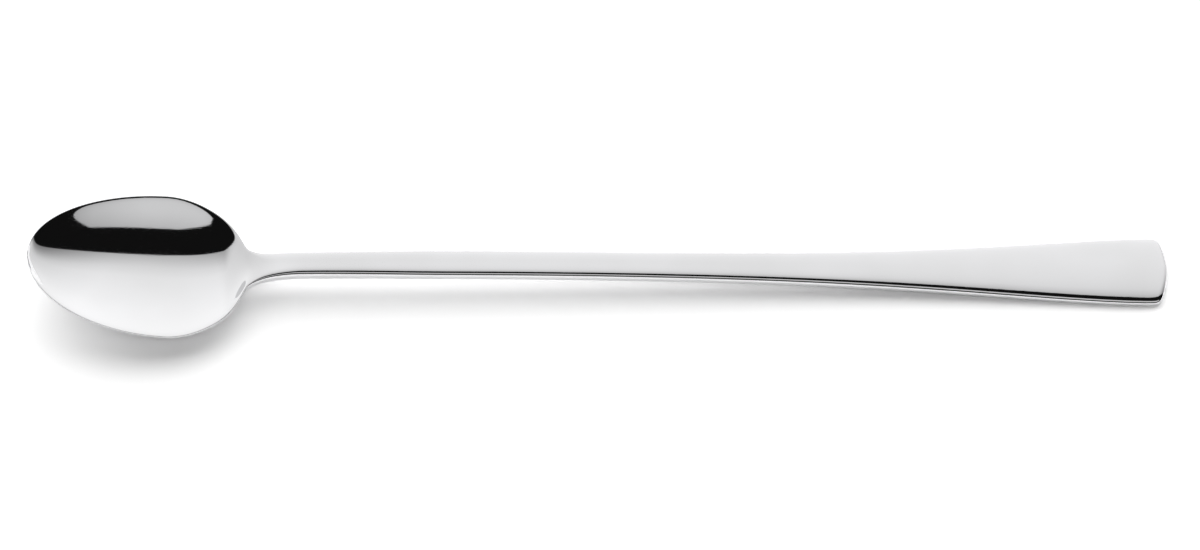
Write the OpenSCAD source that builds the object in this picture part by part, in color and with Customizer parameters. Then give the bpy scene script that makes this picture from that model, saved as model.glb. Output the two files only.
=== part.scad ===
// Long-handled iced tea spoon of polished stainless steel, lying bowl up on a table.
// The tip of the bowl points to -X, the handle to +X, and the table is the plane z = 0.
// The spoon is drawn as rings: closed sections square to X, whose width, height, depth
// and thickness are functions of the distance s from the tip of the bowl.

/* [Overall] */
// Length from the tip of the bowl to the end of the handle
overall_length = 200; // [180:1:220]

/* [Bowl] */
// Length of the bowl from its tip to its heel
bowl_length = 38.6; // [35:0.1:43]
// Width of the bowl across its rim
bowl_width = 28; // [22:0.1:32]
// Distance from the tip to where the rim is widest
bowl_widest = 24; // [20:0.1:27]
// Depth of the hollow below the rim
bowl_depth = 4.4; // [3.8:0.1:5.6]
// Thickness of the bowl's wall
bowl_wall = 1.5; // [1:0.1:2]
// Height of the rim's tip above the rim's heel
tip_rise = 6; // [4.5:0.1:7.5]
// Roundness of the outline between the widest place and the heel, where 2 is an ellipse
heel_fullness = 1.9; // [1.7:0.05:2.4]

/* [Neck] */
// Width of the neck at its narrowest
neck_width = 4.65; // [4:0.05:5.5]
// Thickness of the neck
neck_thickness = 2.5; // [2:0.1:3.2]
// Width of the neck's root at the heel of the bowl
neck_root_width = 7.3; // [6:0.1:9]
// Length of the neck from the heel to the stem
neck_length = 18.5; // [14:0.1:24]
// Height of the neck's crest above the rim's heel
neck_rise = 1.4; // [0.6:0.05:2]

/* [Stem] */
// Width of the stem
stem_width = 5.1; // [4.5:0.1:6]
// Thickness of the stem
stem_thickness = 2.2; // [1.8:0.1:3]
// Roundness of the stem's section, where 2 is an ellipse
stem_roundness = 4.2; // [2.5:0.1:6]

/* [Handle] */
// Length of the handle, from the stem to its end
handle_length = 72; // [60:1:85]
// Width of the handle near its end
handle_width = 13.1; // [10:0.1:16]
// Thickness of the handle at its end
handle_thickness = 1.7; // [1.4:0.1:2.2]
// How far the handle's middle arches above its edges
handle_crown = 0.25; // [0:0.05:0.5]
// How far the middle of the handle's end stands out past its corners
end_bulge = 1.5; // [0.8:0.1:2.5]

/* [Hidden] */
steel = [0.78, 0.78, 0.79];

// Slopes of the rim where it starts at the tip and where it ends at the heel
tip_slope = 0.28;
heel_slope = 0.12;
// The rim is lowest this far before the heel
heel_setback = 4.5;
// The bowl's piece ends this far past the heel
heel_margin = 4;
// Roundness of the bowl's rim
rim_roundness = 4;
// Power and softness with which the hollow deepens from the tip
tip_power = 0.94;
tip_softness = 0.1;
// The hollow's floor rises over this length, to this far past the heel, and this softly
ramp_length = 18.4;
ramp_past = 0.6;
ramp_power = 3;
ramp_softness = 0.3;
// The neck's root narrows by a factor of e over this length, and ever less inside the bowl
root_fade = 1.8;
root_limit = 0.15;
// Sharpness of the blend between the bowl's outline and the neck's
root_blend = 6;
// Share of the neck's length at which it reaches its full height
crest_share = 0.5;
// Distance past the crest over which the neck's section turns into the stem's
stem_runin = 27;
// How late the handle widens, roundness of its section, and sharpness of its corners
flare_power = 2.5;
handle_roundness = 4.4;
corner_sharpness = 9;

// Counts: quarter turns of a ring, and rings along each piece
quarter = 12;
tip_rings = 14;
heel_rings = 20;
neck_rings = 12;
stem_rings = 14;
handle_rings = 18;
end_rings = 9;

// Stations along the spoon, measured from the tip
heel_at = bowl_length - heel_setback;
bowl_end = bowl_length + heel_margin;
ramp_end = bowl_length + ramp_past;
ramp_start = ramp_end - ramp_length;
crest_at = bowl_length + neck_length * crest_share;
stem_start = bowl_length + neck_length;
handle_start = overall_length - handle_length;
closing_length = handle_width / 2;
closing_start = overall_length - closing_length;

// A smooth step from 0 to 1, level at both ends
function ease(t) = let (u = min(1, max(0, t))) u * u * (3 - 2 * u);

// The smooth step between two stations
function ease_between(s, from, to) = ease((s - from) / (to - from));

// A cubic from height z0 and slope m0 at station s0 to height z1 and slope m1 at station s1
function glide(s, s0, z0, m0, s1, z1, m1) =
    let (length = s1 - s0, t = (s - s0) / length)
    z0 + (z1 - z0) * t * t * (3 - 2 * t)
        + length * t * (1 - t) * (m0 * (1 - t) - m1 * t);

// The rounded shape that falls from 1 at u = 0 to 0 at u = 1
function rounded(u, n) = pow(max(0, 1 - pow(min(1, max(0, u)), n)), 1 / n);

// The larger of two lengths, with a passage from one to the other that is sharper for a larger n
function smooth_larger(a, b, n) = pow(pow(a, n) + pow(b, n), 1 / n);

// The smaller of two lengths, with the same passage
function smooth_smaller(a, b, n) = a * b / smooth_larger(a, b, n);

// The value itself where it is above 0, and 0 below, with a soft passage between
function soft_positive(x, softness) = (x + sqrt(x * x + softness * softness)) / 2;

// Progress of the handle's widening, from 0 at the stem to 1 at the end
function flare(s) =
    ease(pow(max(0, s - stem_start) / (overall_length - stem_start), flare_power));

// Half the width of the bowl's own oval
function oval_half(s) =
    let (
        before = s < bowl_widest,
        u = before ? 1 - s / bowl_widest : (s - bowl_widest) / (bowl_length - bowl_widest)
    )
    bowl_width / 2 * rounded(u, before ? 2 : heel_fullness);

// Half the width of the strip that is the neck, the stem and the handle
function strip_half(s) =
    let (
        root = (1 + root_limit) / (exp((s - bowl_length) / root_fade) + root_limit),
        widening = ease_between(s, crest_at, crest_at + stem_runin)
    )
    neck_width / 2
        + (neck_root_width - neck_width) / 2 * root
        + (stem_width - neck_width) / 2 * widening
        + (handle_width - stem_width) / 2 * flare(s);

// Half the width of the arc that ends the handle
function end_half(s) =
    let (
        radius = (pow(handle_width / 2, 2) + pow(end_bulge, 2)) / (2 * end_bulge),
        depth = min(radius, overall_length - s)
    )
    sqrt(max(0, radius * radius - pow(radius - depth, 2)));

// Half the width of the whole outline: the oval blends into the strip, and the arc cuts it off
function half_width(s) =
    let (
        strip = strip_half(s) * ease_between(s, bowl_widest, bowl_length),
        joined = smooth_larger(oval_half(s), strip, root_blend)
    )
    s < closing_start ? joined : smooth_smaller(joined, end_half(s), corner_sharpness);

// The hollow's share of its full depth as it deepens from the tip
function tip_share(s) =
    let (share = rounded(1 - s / bowl_widest, 2))
    pow(share, 1 + tip_power) * (1 + tip_softness) / (share + tip_softness);

// The share that is left as its floor rises towards the heel, ever faster and then levelling off
function heel_share(s) =
    let (v = max(0, s - ramp_start) / ramp_length)
    soft_positive(1 - pow(v, ramp_power), ramp_softness) / soft_positive(1, ramp_softness);

// Depth of the hollow at the middle of a section, or less than 0 where the handle is crowned
function hollow(s) = bowl_depth * tip_share(s) * heel_share(s) - handle_crown * flare(s);

// Thickness of the metal at the middle of a section
function thickness(s) =
    bowl_wall
        + (neck_thickness - bowl_wall) * ease_between(s, bowl_widest, crest_at)
        + (stem_thickness - neck_thickness) * ease_between(s, crest_at, crest_at + stem_runin)
        + (handle_thickness - stem_thickness) * flare(s);

// Roundness of a section: its edges are sharper where this is larger
function roundness(s) =
    rim_roundness
        + (stem_roundness - rim_roundness) * ease_between(s, bowl_widest, crest_at)
        + (handle_roundness - stem_roundness) * flare(s);

// The thickness closes to nothing at the tip and at the handle's end, as it does at the sides
function closing(s) =
    rounded(1 - s / bowl_widest, rim_roundness)
        * rounded((s - closing_start) / closing_length, handle_roundness);

// Height of a section's edges above the rim's heel, from the tip to the neck's crest
function rim_rise(s) =
    s < heel_at ? glide(s, 0, tip_rise, -tip_slope, heel_at, 0, -heel_slope)
        : glide(s, heel_at, 0, -heel_slope, crest_at, neck_rise, 0);

// One section: the middle of the metal is bent down into the hollow, and the thickness is
// laid above and below it. The points start at one edge and go over the top and back below.
function section(s, edge_height) =
    let (
        half = half_width(s),
        depth = hollow(s),
        reach = thickness(s) / 2 * closing(s),
        n = roundness(s)
    )
    [for (i = [0 : 4 * quarter - 1])
        let (
            turn = 90 * i / quarter - 90,
            y = sin(turn),
            side = i < 2 * quarter ? 1 : -1,
            z = edge_height - depth * (1 - y * y) + side * reach * rounded(abs(y), n)
        )
        [s, half * y, z]
    ];

function lowest(points) = min([for (p = points) p.z]);

// Evenly spaced stations, both ends among them
function evenly(from, to, count) = [for (i = [0 : count]) from + (to - from) * i / count];

// Stations of each piece's rings, closer together where the outline turns fast
tip_stations = [for (i = [1 : tip_rings]) bowl_widest * (1 - cos(90 * i / tip_rings))];
heel_stations = [for (i = [1 : heel_rings]) bowl_widest + (bowl_end - bowl_widest) * i / heel_rings];
bowl_stations = concat(tip_stations, heel_stations);
neck_stations = evenly(bowl_end, stem_start, neck_rings);
stem_stations = evenly(stem_start, handle_start, stem_rings);
end_stations = [for (i = [1 : end_rings])
    closing_start + closing_length * sin(90 * i / (end_rings + 1))
];
handle_stations = concat(evenly(handle_start, closing_start, handle_rings), end_stations);

// The spoon stands on the underside of its bowl, which sets the height of the rim's heel
heel_height = -min([for (s = bowl_stations) lowest(section(s, rim_rise(s)))]);

// The stem comes down from the neck's crest to the handle's end
function stem_height(s, end_height) =
    s < stem_start ? heel_height + neck_rise
        : glide(s, stem_start, heel_height + neck_rise, 0, overall_length, end_height, 0);

// The handle's end is lowered until the handle too touches the table
level_end = handle_thickness / 2;
handle_gap = min([for (s = handle_stations) lowest(section(s, stem_height(s, level_end)))]);
end_height = level_end - handle_gap;

function edge_height(s) =
    s < crest_at ? heel_height + rim_rise(s) : stem_height(s, end_height);

function ring(s) = section(s, edge_height(s));

// A point at the tip and one at the handle's end, where the rings shrink to nothing
tip_point = [0, 0, edge_height(0)];
end_point = [overall_length, 0, edge_height(overall_length)];

// A closed solid over a row of rings. Each end is flat, or runs to a single point.
module skin(stations, first_point = [], last_point = []) {
    count = 4 * quarter;
    last = len(stations) - 1;
    rings = [for (s = stations) each ring(s)];
    points = concat(rings, first_point, last_point);
    first_index = len(rings);
    last_index = len(rings) + len(first_point);
    function at(k, i) = k * count + i % count;
    // The diagonals mirror each other across the middle of the spoon
    function mirrored(i) = i >= quarter && i < 3 * quarter;
    sides = [for (k = [0 : last - 1]) for (i = [0 : count - 1])
        each mirrored(i)
            ? [[at(k, i), at(k, i + 1), at(k + 1, i)], [at(k, i + 1), at(k + 1, i + 1), at(k + 1, i)]]
            : [[at(k, i), at(k + 1, i + 1), at(k + 1, i)], [at(k, i), at(k, i + 1), at(k + 1, i + 1)]]
    ];
    start = len(first_point) > 0
        ? [for (i = [0 : count - 1]) [first_index, at(0, i + 1), at(0, i)]]
        : [[for (i = [count - 1 : -1 : 0]) at(0, i)]];
    finish = len(last_point) > 0
        ? [for (i = [0 : count - 1]) [last_index, at(last, i), at(last, i + 1)]]
        : [[for (i = [0 : count - 1]) at(last, i)]];
    translate([-overall_length / 2, 0, 0])
        polyhedron(points = points, faces = concat(sides, start, finish), convexity = 6);
}

module bowl() {
    color(steel) skin(bowl_stations, first_point = [tip_point]);
}

module neck() {
    color(steel) skin(neck_stations);
}

module stem() {
    color(steel) skin(stem_stations);
}

module handle() {
    color(steel) skin(handle_stations, last_point = [end_point]);
}

bowl();
neck();
stem();
handle();
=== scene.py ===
# %% [markdown]
# # A long iced tea spoon in polished steel
#
# The spoon is one forging of stainless steel, 20 cm long: a small oval bowl, a thin
# neck, a slim stem, and a handle that widens and flattens towards its end. It lies bowl up
# on a white table, and every surface is polished to a mirror.
#
# A mirror shows the smallest facet as a kink in what it reflects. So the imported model, which
# is made of flat facets, stays hidden as the frame, and the surface here is worked out from
# the same sizes with many more points. The frame still gives the places: how long the spoon
# is, where one piece ends and the next begins, and how high it stands.

# %% Load the frame
import math

import bpy
import numpy as np
from mathutils import Matrix, Vector


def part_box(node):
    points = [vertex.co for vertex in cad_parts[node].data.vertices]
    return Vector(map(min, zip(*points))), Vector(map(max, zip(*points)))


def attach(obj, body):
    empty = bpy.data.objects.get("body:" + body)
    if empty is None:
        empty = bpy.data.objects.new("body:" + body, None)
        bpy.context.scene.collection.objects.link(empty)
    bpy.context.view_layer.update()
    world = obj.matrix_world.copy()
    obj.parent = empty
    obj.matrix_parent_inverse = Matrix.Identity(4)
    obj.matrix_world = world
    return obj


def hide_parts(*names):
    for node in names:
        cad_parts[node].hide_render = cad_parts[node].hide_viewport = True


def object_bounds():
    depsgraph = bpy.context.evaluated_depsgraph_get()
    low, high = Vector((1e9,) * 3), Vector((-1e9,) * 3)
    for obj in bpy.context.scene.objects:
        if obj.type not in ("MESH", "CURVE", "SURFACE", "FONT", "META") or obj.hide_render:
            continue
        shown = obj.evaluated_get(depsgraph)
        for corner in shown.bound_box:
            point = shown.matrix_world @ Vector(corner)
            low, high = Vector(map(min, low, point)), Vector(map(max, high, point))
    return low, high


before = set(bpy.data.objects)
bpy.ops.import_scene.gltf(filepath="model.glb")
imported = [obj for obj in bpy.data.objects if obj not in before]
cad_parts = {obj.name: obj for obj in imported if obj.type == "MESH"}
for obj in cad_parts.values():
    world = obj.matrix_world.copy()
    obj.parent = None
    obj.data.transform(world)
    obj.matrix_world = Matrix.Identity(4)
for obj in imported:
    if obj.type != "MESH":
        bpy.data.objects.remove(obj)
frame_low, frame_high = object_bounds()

print("pieces in the frame:", sorted(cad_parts))

# %% [markdown]
# ## The sizes
#
# A silversmith would draw a spoon as three curves: the outline seen from above, the profile
# seen from the side, and the thickness of the metal. The sizes of those curves are named
# here in millimetres. Places along the spoon are stations, counted from the tip of the bowl.
# The ends of the pieces are read from the frame, so they cannot drift away from it.

# %% Name the sizes
MM = 0.001


def piece_end(node):
    """The station where a piece ends: its highest X in the frame, counted from the tip."""
    return (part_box(node)[1].x - frame_low[0]) / MM


overall_length = piece_end("handle")
bowl_end = piece_end("bowl")
stem_start = piece_end("neck")
handle_start = piece_end("stem")

bowl_width = 28
bowl_widest = 24
bowl_depth = 4.4
bowl_wall = 1.5
tip_rise = 6
tip_slope = 0.28
heel_slope = 0.12
heel_setback = 4.5
heel_margin = 4
heel_fullness = 1.9
rim_roundness = 4
tip_power = 0.94
tip_softness = 0.1
ramp_length = 18.4
ramp_past = 0.6
ramp_power = 3
ramp_softness = 0.3

neck_width = 4.65
neck_thickness = 2.5
neck_root_width = 7.3
neck_rise = 1.4
root_fade = 1.8
root_limit = 0.15
root_blend = 6
crest_share = 0.5

stem_width = 5.1
stem_thickness = 2.2
stem_roundness = 4.2
stem_runin = 27

handle_width = 13.1
handle_thickness = 1.7
handle_crown = 0.25
handle_roundness = 4.4
flare_power = 2.5
end_bulge = 1.5
corner_sharpness = 9

bowl_length = bowl_end - heel_margin
ramp_start = bowl_length + ramp_past - ramp_length
heel_at = bowl_length - heel_setback
crest_at = bowl_length + (stem_start - bowl_length) * crest_share
closing_length = handle_width / 2
closing_start = overall_length - closing_length
print(f"bowl to {bowl_end:.1f}, neck to {stem_start:.1f}, stem to {handle_start:.1f}, "
      f"handle to {overall_length:.1f} mm")

# %% [markdown]
# ## Curves that flow into each other
#
# Nothing on a polished spoon changes suddenly, because the buffing wheel rounds every
# corner and the eye catches a kink at once. So one size turns into another along a smooth
# step, a height runs along a cubic with a chosen slope at each end, and two outlines blend
# by the root of a sum of powers instead of meeting in a corner. All of these take whole
# arrays of stations.

# %% Define the flowing curves
def ease(t):
    """A smooth step: 0 below t = 0, 1 above t = 1, and 3t² - 2t³ between."""
    u = np.clip(t, 0, 1)
    return u * u * (3 - 2 * u)


def ease_between(s, start, end):
    """The smooth step from 0 at station start to 1 at station end."""
    return ease((s - start) / (end - start))


def glide(s, s0, z0, m0, s1, z1, m1):
    """The cubic with height z0 and slope m0 at s0, and height z1 and slope m1 at s1."""
    length = s1 - s0
    t = (s - s0) / length
    return (z0 + (z1 - z0) * t * t * (3 - 2 * t)
            + length * t * (1 - t) * (m0 * (1 - t) - m1 * t))


def rounded(u, n):
    """The n-th root of 1 - uⁿ: an ellipse's fall from 1 to 0, squarer for a larger n."""
    return np.maximum(0, 1 - np.clip(u, 0, 1) ** n) ** (1 / n)


def smooth_larger(a, b, n):
    """The n-th root of aⁿ + bⁿ: the larger of the two, with a soft passage between."""
    return (a ** n + b ** n) ** (1 / n)


def smooth_smaller(a, b, n):
    """The smaller of the two, with the same passage."""
    return a * b / smooth_larger(a, b, n)


def soft_positive(x, softness):
    """Half of x plus the root of x² + softness²: x above zero, 0 below, and soft between."""
    return (x + np.sqrt(x * x + softness ** 2)) / 2


# %% [markdown]
# ## The outline from above
#
# The bowl is an oval that is widest behind its middle, so it has two half ellipses. The
# neck, the stem and the handle are one strip, whose width is a sum of smooth steps. The
# strip grows out of the bowl's heel, and a flat arc cuts the handle off with soft corners.

# %% Define the outline
def flare(s):
    """Progress of the handle's widening: 0 on the stem, 1 at the end, and late in between."""
    return ease((np.maximum(0, s - stem_start) / (overall_length - stem_start)) ** flare_power)


def oval_half(s):
    """Half the bowl's width: an ellipse up to the widest place, a fuller one behind it."""
    before = s < bowl_widest
    u = np.where(before, 1 - s / bowl_widest, (s - bowl_widest) / (bowl_length - bowl_widest))
    return bowl_width / 2 * rounded(u, np.where(before, 2, heel_fullness))


def strip_half(s):
    """Half the strip's width: the neck's, plus a root that fades, plus the two widenings."""
    root = (1 + root_limit) / (np.exp((s - bowl_length) / root_fade) + root_limit)
    return (neck_width / 2
            + (neck_root_width - neck_width) / 2 * root
            + (stem_width - neck_width) / 2 * ease_between(s, crest_at, crest_at + stem_runin)
            + (handle_width - stem_width) / 2 * flare(s))


def end_half(s):
    """Half the width of the arc at the handle's end: half a chord at its depth below the top."""
    radius = ((handle_width / 2) ** 2 + end_bulge ** 2) / (2 * end_bulge)
    depth = np.minimum(radius, overall_length - s)
    return np.sqrt(np.maximum(0, radius ** 2 - (radius - depth) ** 2))


def half_width(s):
    """Half the outline's width: the oval blends into the strip, and the arc cuts it off."""
    strip = strip_half(s) * ease_between(s, bowl_widest, bowl_length)
    joined = smooth_larger(oval_half(s), strip, root_blend)
    return np.where(s < closing_start, joined,
                    smooth_smaller(joined, end_half(s), corner_sharpness))


for name, station in (("bowl", bowl_widest), ("neck", crest_at), ("end", closing_start)):
    print(f"width at the {name}: {2 * float(half_width(np.array([station]))[0]):.2f} mm")

# %% [markdown]
# ## The section and the profile
#
# Cut square to its length, the spoon is a bent strip of metal. The middle of the strip hangs
# down into the bowl's hollow, or arches up a little in the handle, and the thickness is laid
# above and below it with rounded edges. The surface turns fast near an edge or an end, so
# points are spaced by a sine there and lie closer together.

# %% Define the section
AROUND = 256
half_ring = AROUND // 2


def tip_share(s):
    """Share of the full depth as the hollow deepens from the tip: nearly a power of the width."""
    share = rounded(1 - s / bowl_widest, 2)
    return share ** (1 + tip_power) * (1 + tip_softness) / (share + tip_softness)


def heel_share(s):
    """The share left as the floor rises to the heel: 1 less a power of the way up, kept above 0."""
    way = np.maximum(0, s - ramp_start) / ramp_length
    return soft_positive(1 - way ** ramp_power, ramp_softness) / soft_positive(1, ramp_softness)


def hollow(s):
    """Depth of the hollow in the middle, or less than 0 where the handle is crowned."""
    return bowl_depth * tip_share(s) * heel_share(s) - handle_crown * flare(s)


def thickness(s):
    """Thickness of the metal: three smooth steps from bowl to neck, stem and handle."""
    return (bowl_wall
            + (neck_thickness - bowl_wall) * ease_between(s, bowl_widest, crest_at)
            + (stem_thickness - neck_thickness) * ease_between(s, crest_at, crest_at + stem_runin)
            + (handle_thickness - stem_thickness) * flare(s))


def roundness(s):
    """The power that rounds a section's edges: 2 would make it an ellipse."""
    return (rim_roundness
            + (stem_roundness - rim_roundness) * ease_between(s, bowl_widest, crest_at)
            + (handle_roundness - stem_roundness) * flare(s))


def closing(s):
    """A factor that closes the thickness at the tip and at the handle's end."""
    return (rounded(1 - s / bowl_widest, rim_roundness)
            * rounded((s - closing_start) / closing_length, handle_roundness))


def sections(s, edge_height):
    """Rings of points, one row for each station: sideways y runs as the sine of the turn, and
    z is the edge's height, less the bend of the strip, plus or minus half its thickness."""
    turn = np.arange(AROUND) * 2 * math.pi / AROUND - math.pi / 2
    y = np.sin(turn)
    side = np.where(np.arange(AROUND) < half_ring, 1, -1)
    reach = (thickness(s) / 2 * closing(s))[:, None]
    z = (edge_height[:, None] - hollow(s)[:, None] * (1 - y ** 2)
         + side * reach * rounded(np.abs(y), roundness(s)[:, None]))
    return np.stack([np.broadcast_to(s[:, None], z.shape), half_width(s)[:, None] * y, z], -1)


# %% [markdown]
# The profile is the height of the section's edges. The spoon stands on the underside of its
# bowl and on the end of its handle, so the two heights that are still unknown are found by
# lowering each until it touches the table, which is the plane z = 0.

# %% Work out the profile
TIP_STEPS = 130
HEEL_STEPS = 120
NECK_STEPS = 90
STEM_STEPS = 140
HANDLE_STEPS = 160
END_STEPS = 70


def steps_between(start, end, steps):
    """Evenly spaced values from start to end, both included."""
    return np.linspace(start, end, steps + 1)


bowl_stations = np.concatenate([
    bowl_widest * (1 - np.cos(steps_between(0, math.pi / 2, TIP_STEPS)[1:])),
    steps_between(bowl_widest, bowl_end, HEEL_STEPS)[1:]])
neck_stations = steps_between(bowl_end, stem_start, NECK_STEPS)
stem_stations = steps_between(stem_start, handle_start, STEM_STEPS)
handle_stations = np.concatenate([
    steps_between(handle_start, closing_start, HANDLE_STEPS),
    closing_start + closing_length * np.sin(steps_between(0, math.pi / 2, END_STEPS)[1:-1])])


def rim_rise(s):
    """Height of the edges above the rim's heel: down from the tip, then up to the neck."""
    return np.where(s < heel_at,
                    glide(s, 0, tip_rise, -tip_slope, heel_at, 0, -heel_slope),
                    glide(s, heel_at, 0, -heel_slope, crest_at, neck_rise, 0))


heel_height = -sections(bowl_stations, rim_rise(bowl_stations))[..., 2].min()


def stem_height(s, end_height):
    """Height of the edges past the neck's crest: level, then down to the handle's end."""
    top = heel_height + neck_rise
    return np.where(s < stem_start, top,
                    glide(s, stem_start, top, 0, overall_length, end_height, 0))


level_end = handle_thickness / 2
handle_gap = sections(handle_stations, stem_height(handle_stations, level_end))[..., 2].min()
end_height = level_end - handle_gap


def edge_height(s):
    """Height of the section's edges above the table."""
    return np.where(s < crest_at, heel_height + rim_rise(s), stem_height(s, end_height))


print(f"rim's heel at {heel_height:.2f} mm, handle's end at {end_height:.2f} mm")

# %% [markdown]
# ## From rings to a closed surface
#
# A row of rings could be lofted by a modifier, but a plain grid is exact and quick: every
# four neighbouring points are a face. A piece that ends at the tip or at the handle's end
# closes in a single point. Where two pieces meet, both have the same ring, and a flat cap
# with sharp edges closes each, so the polish runs across the seam without a step.
#
# The frame's flat facets cut about a hundredth of a millimetre off the curves, so the finer
# surface would stand that much proud of it. It is drawn in by the share that makes both
# boxes the same.

# %% Build a piece from its stations
def own_box():
    """Lowest and highest corners of all the rings, in millimetres, with the ends at the tips."""
    stations = np.concatenate([bowl_stations, neck_stations, stem_stations, handle_stations])
    points = sections(stations, edge_height(stations)).reshape(-1, 3)
    low, high = points.min(axis=0), points.max(axis=0)
    low[0], high[0] = 0, overall_length
    return low, high


own_low, own_high = own_box()
frame_corner = np.array(frame_low)
frame_share = (np.array(frame_high) - frame_corner) / ((own_high - own_low) * MM)
print("drawn in to the frame by", np.round(frame_share, 5))


def in_the_frame(points):
    """Millimetres from the tip to metres, drawn in by that share to the frame's own box."""
    return frame_corner + (points - own_low) * MM * frame_share


def grid_faces(rows):
    """Faces between neighbouring rings: one for each pair of points and pair of rings."""
    k, i = np.meshgrid(np.arange(rows - 1), np.arange(AROUND), indexing="ij")
    after = (i + 1) % AROUND
    corners = [k * AROUND + i, k * AROUND + after, (k + 1) * AROUND + after, (k + 1) * AROUND + i]
    return np.stack(corners, -1).reshape(-1, 4)


def fan_faces(ring_start, point, outwards):
    """Triangles from one ring to a single point."""
    i = np.arange(AROUND)
    after = (i + 1) % AROUND
    edge = [ring_start + after, ring_start + i] if outwards else [ring_start + i, ring_start + after]
    return np.stack([np.full(AROUND, point)] + edge, -1)


def skin(name, stations, first_point=None, last_point=None):
    """A closed mesh over the sections at these stations, capped or run to a point."""
    rings = sections(stations, edge_height(stations))
    points = rings.reshape(-1, 3)
    last_ring = (len(stations) - 1) * AROUND
    faces = grid_faces(len(stations)).tolist()
    caps = []
    for point, ring_start, is_first in ((first_point, 0, True), (last_point, last_ring, False)):
        if point is None:
            ring = list(range(ring_start, ring_start + AROUND))
            caps.append(len(faces))
            faces.append(ring[::-1] if is_first else ring)
        else:
            faces += fan_faces(ring_start, len(points), is_first).tolist()
            points = np.vstack([points, point])
    mesh = bpy.data.meshes.new(name)
    mesh.from_pydata(in_the_frame(points).tolist(), [], faces)
    mesh.shade_smooth()
    mark_caps(mesh, caps)
    piece = bpy.data.objects.new(name, mesh)
    bpy.context.scene.collection.objects.link(piece)
    print(f"{name}: {len(stations)} rings, {len(mesh.polygons)} faces")
    return piece


def mark_caps(mesh, caps):
    """Flat caps with sharp edges, so that they don't bend the shading beside them."""
    for cap in caps:
        mesh.polygons[cap].use_smooth = False
        rim = set(mesh.polygons[cap].edge_keys)
        for edge in mesh.edges:
            if edge.key in rim:
                edge.use_edge_sharp = True


# %% [markdown]
# ## The four pieces
#
# The names are a spoon maker's. The bowl starts in a point at its tip, and the handle ends
# in one. A flat cap closes every other end.

# %% Make the pieces
def end_point(s):
    """The point where the rings shrink to nothing."""
    return np.array([s, 0, float(edge_height(np.array([s]))[0])])


spoon = {
    "bowl": skin("bowl_polished", bowl_stations, first_point=end_point(0)),
    "neck": skin("neck_polished", neck_stations),
    "stem": skin("stem_polished", stem_stations),
    "handle": skin("handle_polished", handle_stations, last_point=end_point(overall_length)),
}

# %% [markdown]
# ## Polished stainless steel
#
# A buffed spoon isn't a perfect mirror. Years of washing and wiping leave hair-fine marks
# along it, and the polish is a touch softer in places. One group works out those marks from
# the object's own coordinates, stretched along the spoon, and the material turns them into a
# little roughness and an even smaller bump. The colour is steel's own grey, with a trace of
# blue.

# %% Build the wiping marks
MARK_STRETCH = 12.0
MARK_SCALE = 400
MARK_DETAIL = 3
MARK_RANGE = (0.45, 0.75)
PATCH_SCALE = 60
PATCH_DETAIL = 2
PATCH_RANGE = (0.35, 0.7)


def new_group(name, inputs, outputs):
    """A shader node group with number inputs and outputs, and its two end nodes."""
    group = bpy.data.node_groups.new(name, "ShaderNodeTree")
    for label, kind, value in inputs:
        socket = group.interface.new_socket(label, in_out="INPUT", socket_type=kind)
        if value is not None:
            socket.default_value = value
    for label, kind in outputs:
        group.interface.new_socket(label, in_out="OUTPUT", socket_type=kind)
    return group, group.nodes.new("NodeGroupInput"), group.nodes.new("NodeGroupOutput")


def combine(tree, operation, *values):
    """A Math node on sockets and numbers, as its result."""
    node = tree.nodes.new("ShaderNodeMath")
    node.operation = operation
    for socket, value in zip(node.inputs, values):
        if isinstance(value, (int, float)):
            socket.default_value = value
        else:
            tree.links.new(value, socket)
    return node.outputs["Value"]


def noise(tree, vector, scale, detail):
    """A noise texture on a vector, as its value socket."""
    node = tree.nodes.new("ShaderNodeTexNoise")
    node.inputs["Scale"].default_value = scale
    node.inputs["Detail"].default_value = detail
    tree.links.new(vector, node.inputs["Vector"])
    return node.outputs["Fac"]


def ramp_between(tree, value, low, high, to_low, to_high):
    """Maps a value from one range to another, smoothly and without going past its ends."""
    node = tree.nodes.new("ShaderNodeMapRange")
    node.interpolation_type = "SMOOTHSTEP"
    for label, number in (("From Min", low), ("From Max", high), ("To Min", to_low), ("To Max", to_high)):
        node.inputs[label].default_value = number
    tree.links.new(value, node.inputs["Value"])
    return node.outputs["Result"]


def wiping_marks():
    """Group: fine marks drawn out along X, and the broad patches where the polish is softer."""
    group, ins, outs = new_group(
        "wiping_marks",
        [("Vector", "NodeSocketVector", None), ("Stretch", "NodeSocketFloat", MARK_STRETCH)],
        [("Marks", "NodeSocketFloat"), ("Patches", "NodeSocketFloat")])
    stretch = group.nodes.new("ShaderNodeVectorMath")
    stretch.operation = "MULTIPLY"
    across = group.nodes.new("ShaderNodeCombineXYZ")
    across.inputs["X"].default_value = 1
    group.links.new(ins.outputs["Stretch"], across.inputs["Y"])
    group.links.new(ins.outputs["Stretch"], across.inputs["Z"])
    group.links.new(ins.outputs["Vector"], stretch.inputs[0])
    group.links.new(across.outputs["Vector"], stretch.inputs[1])
    fine = noise(group, stretch.outputs["Vector"], MARK_SCALE, MARK_DETAIL)
    group.links.new(ramp_between(group, fine, *MARK_RANGE, 0, 1), outs.inputs["Marks"])
    broad = noise(group, ins.outputs["Vector"], PATCH_SCALE, PATCH_DETAIL)
    group.links.new(ramp_between(group, broad, *PATCH_RANGE, 0, 1), outs.inputs["Patches"])
    return group


marks_group = wiping_marks()
print("group:", marks_group.name)

# %% Build the steel
STEEL_BRIGHT = (0.78, 0.78, 0.79, 1)
STEEL_DULL = (0.75, 0.75, 0.757, 1)
POLISH_ROUGHNESS = (0.025, 0.05)
MARK_ROUGHNESS = 0.03
MARK_HEIGHT = 0.0000004


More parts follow.
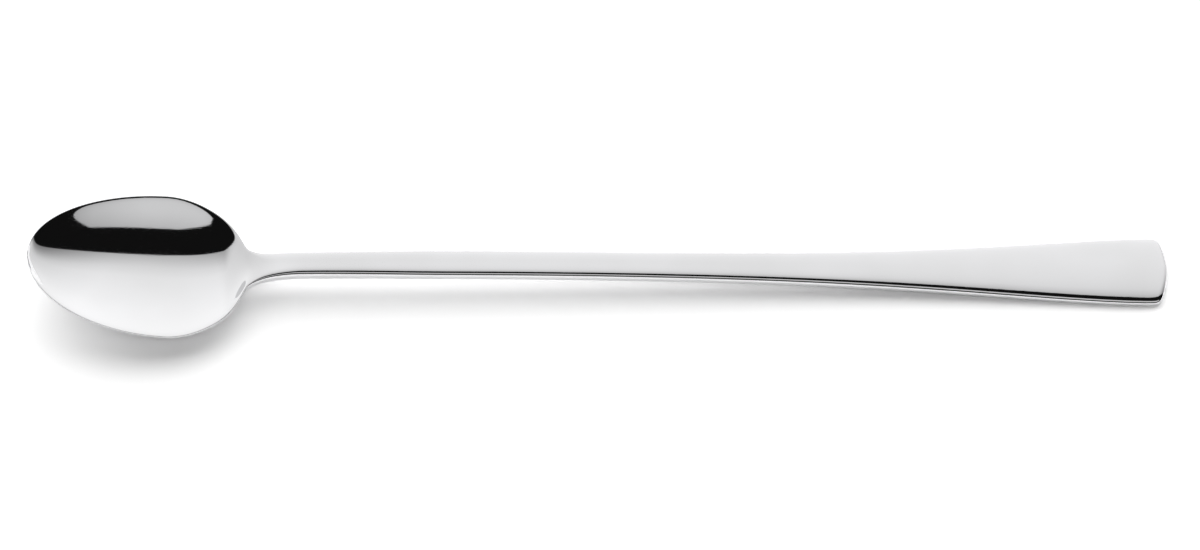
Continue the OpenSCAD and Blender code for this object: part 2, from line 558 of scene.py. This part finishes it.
def mix_numbers(tree, factor, low, high):
    """A number that goes smoothly from low to high as the factor goes from 0 to 1."""
    return ramp_between(tree, factor, 0, 1, low, high)


def polished_steel():
    """Mirror-polished stainless steel with hair-fine wiping marks."""
    material = bpy.data.materials.new("polished_steel")
    material.use_nodes = True
    tree = material.node_tree
    shader = tree.nodes["Principled BSDF"]
    shader.inputs["Metallic"].default_value = 1
    place = tree.nodes.new("ShaderNodeTexCoord")
    marks = tree.nodes.new("ShaderNodeGroup")
    marks.node_tree = marks_group
    tree.links.new(place.outputs["Object"], marks.inputs["Vector"])

    colour = tree.nodes.new("ShaderNodeMix")
    colour.data_type = "RGBA"
    colour.inputs["A"].default_value = STEEL_BRIGHT
    colour.inputs["B"].default_value = STEEL_DULL
    tree.links.new(marks.outputs["Patches"], colour.inputs["Factor"])
    tree.links.new(colour.outputs["Result"], shader.inputs["Base Color"])

    softer = mix_numbers(tree, marks.outputs["Patches"], *POLISH_ROUGHNESS)
    scratched = mix_numbers(tree, marks.outputs["Marks"], 0, MARK_ROUGHNESS)
    tree.links.new(combine(tree, "ADD", softer, scratched), shader.inputs["Roughness"])

    bump = tree.nodes.new("ShaderNodeBump")
    bump.inputs["Distance"].default_value = MARK_HEIGHT
    tree.links.new(marks.outputs["Marks"], bump.inputs["Height"])
    tree.links.new(bump.outputs["Normal"], shader.inputs["Normal"])
    return material


steel = polished_steel()
for node, piece in spoon.items():
    piece.data.materials.append(steel)
    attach(piece, "root")
    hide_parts(node)
print("steel on", len(spoon), "pieces")

# %% [markdown]
# ## The table
#
# A white sheet, wide enough to fill the view from any side. A product photographer exposes
# such a table until it is white and only the soft shadow stays grey. Here the sheet lights
# the spoon as common white paper would, and the camera and the mirrors see it three times as
# bright. More light would do that too, but it would also overexpose the spoon.

# %% Lay the table
TABLE_SPAN = 6.0
TABLE_WHITE = 0.9
SHOWN_WHITE = 2.7


def white_sheet():
    """A matt white sheet, brighter for the camera and for what the spoon mirrors."""
    material = bpy.data.materials.new("white_sheet")
    material.use_nodes = True
    tree = material.node_tree
    tree.nodes.remove(tree.nodes["Principled BSDF"])
    shader = tree.nodes.new("ShaderNodeBsdfDiffuse")
    tree.links.new(shader.outputs["BSDF"], tree.nodes["Material Output"].inputs["Surface"])
    ray = tree.nodes.new("ShaderNodeLightPath")
    seen = combine(tree, "MAXIMUM", ray.outputs["Is Camera Ray"], ray.outputs["Is Glossy Ray"])
    seen = combine(tree, "MULTIPLY", seen,
                   combine(tree, "LESS_THAN", ray.outputs["Diffuse Depth"], 0.5))
    colour = tree.nodes.new("ShaderNodeMix")
    colour.data_type = "RGBA"
    colour.inputs["A"].default_value = (TABLE_WHITE, TABLE_WHITE, TABLE_WHITE, 1)
    colour.inputs["B"].default_value = (SHOWN_WHITE, SHOWN_WHITE, SHOWN_WHITE, 1)
    tree.links.new(seen, colour.inputs["Factor"])
    tree.links.new(colour.outputs["Result"], shader.inputs["Color"])
    return material


def white_table():
    """One flat square on z = 0, centred under the spoon."""
    mesh = bpy.data.meshes.new("table")
    half = TABLE_SPAN / 2
    corners = [(-half, -half, 0), (half, -half, 0), (half, half, 0), (-half, half, 0)]
    mesh.from_pydata(corners, [], [(0, 1, 2, 3)])
    mesh.materials.append(white_sheet())
    table = bpy.data.objects.new("table", mesh)
    bpy.context.scene.collection.objects.link(table)
    return table


white_table()
print(f"table {TABLE_SPAN:.0f} m across")

# %% [markdown]
# ## The light
#
# Polished metal has no look of its own: it shows the room. Here the room is a photographer's
# tent. Its roof is brightest low behind the spoon and dims towards a front edge that lies just
# behind straight overhead. The front of the tent is dark, but for one light card high up in
# it and a glow near the table. The light of a point of the tent depends on its angle from
# straight overhead, measured towards the front about the spoon's long axis, and on how far
# to a side it lies.
#
# The stops of the roof and the card are pairs of an angle in degrees and a brightness, and
# those of their sides are pairs of a share of the way to the side and a factor. Four straight
# edges cut out the card: its top is level in the middle, slopes gently down to the bowl's side
# and steeply down to the handle's side, and its end on the bowl's side is upright.

# %% Light the tent
ROOF_LIGHT = ((-90, 1.28), (-60, 1.12), (-30, 1), (-20, 0.87), (-6, 0.53), (10, 0.2))
ROOF_SIDES = ((0.4, 1), (0.8, 0.81), (1, 0.74))
ROOF_EDGE = math.radians(-6.8)
ROOF_TILT = 0.12
ROOF_LEAN = ((12, 60, 20), (-30, -60, -24))
CARD_LIGHT = ((12, 0.58), (22, 0.74), (28, 0.77), (30, 0.05), (60, 0.05), (90, 1.2))
CARD_SIDES = ((0.3, 1), (0.55, 0.84), (0.8, 0.5), (1, 0.4))
CARD_EDGE = math.radians(12.6)
CARD_TILT = -0.2
CARD_RISE = math.radians(13.2)
CARD_SLANT = 0.9
CARD_CORNER = math.radians(18)
CARD_END = math.radians(-23)
DARKEST = 0.006
EDGE_BLUR = math.radians(0.5)


def light_by_place(tree, place, stops):
    """Brightness as a colour ramp, from stops of a place between 0 and 1 and a light."""
    ramp = tree.nodes.new("ShaderNodeValToRGB")
    elements = ramp.color_ramp.elements
    while len(elements) < len(stops):
        elements.new(1.0)
    peak = max(light for _, light in stops)
    for element, (position, light) in zip(elements, stops):
        grey = light / peak
        element.position = position
        element.color = (grey, grey, grey, 1)
    tree.links.new(place, ramp.inputs["Fac"])
    return combine(tree, "MULTIPLY", ramp.outputs["Color"], peak)


def light_by_angle(tree, angle, stops):
    """The same, from stops in degrees between the back, -90, and the front, 90."""
    turn = combine(tree, "MULTIPLY_ADD", angle, 1 / math.pi, 0.5)
    return light_by_place(tree, turn, [((degrees + 90) / 180, light) for degrees, light in stops])


def beyond(tree, value, edge):
    """1 where the value is beyond the edge, 0 before it, with a narrow blur between."""
    return ramp_between(tree, combine(tree, "SUBTRACT", value, edge), -EDGE_BLUR, EDGE_BLUR, 0, 1)


def product(tree, *values):
    """All the values multiplied together."""
    result = values[0]
    for value in values[1:]:
        result = combine(tree, "MULTIPLY", result, value)
    return result


def tent():
    """The world: the roof's light, less towards the sides, and the card in the dark front."""
    world = bpy.data.worlds.new("tent")
    bpy.context.scene.world = world
    world.use_nodes = True
    tree = world.node_tree
    place = tree.nodes.new("ShaderNodeTexCoord")
    parts = tree.nodes.new("ShaderNodeSeparateXYZ")
    tree.links.new(place.outputs["Generated"], parts.inputs["Vector"])
    across, away, up = (parts.outputs[axis] for axis in "XYZ")
    angle = combine(tree, "ARCTAN2", combine(tree, "MULTIPLY", away, -1), up)
    aside = combine(tree, "ARCSINE", across)
    sideways = combine(tree, "ABSOLUTE", across)
    leaning = angle
    for start, end, turn in ROOF_LEAN:
        leaning = combine(tree, "ADD", leaning, ramp_between(
            tree, aside, math.radians(start), math.radians(end), 0, math.radians(turn)))
    tilted = combine(tree, "MULTIPLY_ADD", aside, ROOF_TILT, angle)
    roof = product(tree, light_by_angle(tree, leaning, ROOF_LIGHT),
                   light_by_place(tree, sideways, ROOF_SIDES),
                   combine(tree, "SUBTRACT", 1, beyond(tree, tilted, ROOF_EDGE)))
    gentle_edge = combine(tree, "MULTIPLY_ADD", aside, CARD_TILT, CARD_RISE)
    steep_edge = combine(tree, "MULTIPLY_ADD", aside, CARD_SLANT, -CARD_CORNER)
    card = product(tree, light_by_angle(tree, angle, CARD_LIGHT),
                   light_by_place(tree, sideways, CARD_SIDES),
                   beyond(tree, angle, CARD_EDGE), beyond(tree, angle, gentle_edge),
                   beyond(tree, angle, steep_edge), beyond(tree, aside, CARD_END))
    ray = tree.nodes.new("ShaderNodeLightPath")
    light = combine(tree, "MAXIMUM", combine(tree, "ADD", roof, card), DARKEST)
    shown = combine(tree, "MAXIMUM", light, ray.outputs["Is Camera Ray"])
    tree.links.new(shown, tree.nodes["Background"].inputs["Strength"])
    tree.nodes["Background"].inputs["Color"].default_value = (1, 1, 1, 1)
    return world


tent()
bpy.context.scene.view_settings.view_transform = "Standard"
print("tent lit")

# %% [markdown]
# ## The camera
#
# The spoon is seen from 62.5 degrees above the table, from so far away that its two ends look
# the same size, which takes a long lens. The camera aims at a point near the spoon's middle.

# %% Set the camera
CAMERA_DISTANCE = 1.4
CAMERA_ELEVATION = math.radians(62.5)
CAMERA_YAW = math.radians(0.475)
VIEW_WIDTH = 0.2113
NEAREST_SEEN = 0.01
AIM = Vector((0.0002, 0.0006, 0))


def place_camera():
    """A long lens whose field is VIEW_WIDTH wide at the aim, level along the spoon."""
    ahead = Vector((math.sin(CAMERA_YAW) * math.cos(CAMERA_ELEVATION),
                    math.cos(CAMERA_YAW) * math.cos(CAMERA_ELEVATION),
                    -math.sin(CAMERA_ELEVATION)))
    right = Vector((math.cos(CAMERA_YAW), -math.sin(CAMERA_YAW), 0))
    above = right.cross(ahead)
    lens = bpy.data.cameras.new("camera")
    lens.lens = lens.sensor_width * CAMERA_DISTANCE / VIEW_WIDTH
    lens.clip_start = NEAREST_SEEN
    camera = bpy.data.objects.new("camera", lens)
    turned = Matrix((right, above, -ahead)).transposed().to_4x4()
    camera.matrix_world = Matrix.Translation(AIM - ahead * CAMERA_DISTANCE) @ turned
    bpy.context.scene.collection.objects.link(camera)
    bpy.context.scene.camera = camera
    return camera


camera = place_camera()
print(f"lens {camera.data.lens:.0f} mm at {CAMERA_DISTANCE} m")
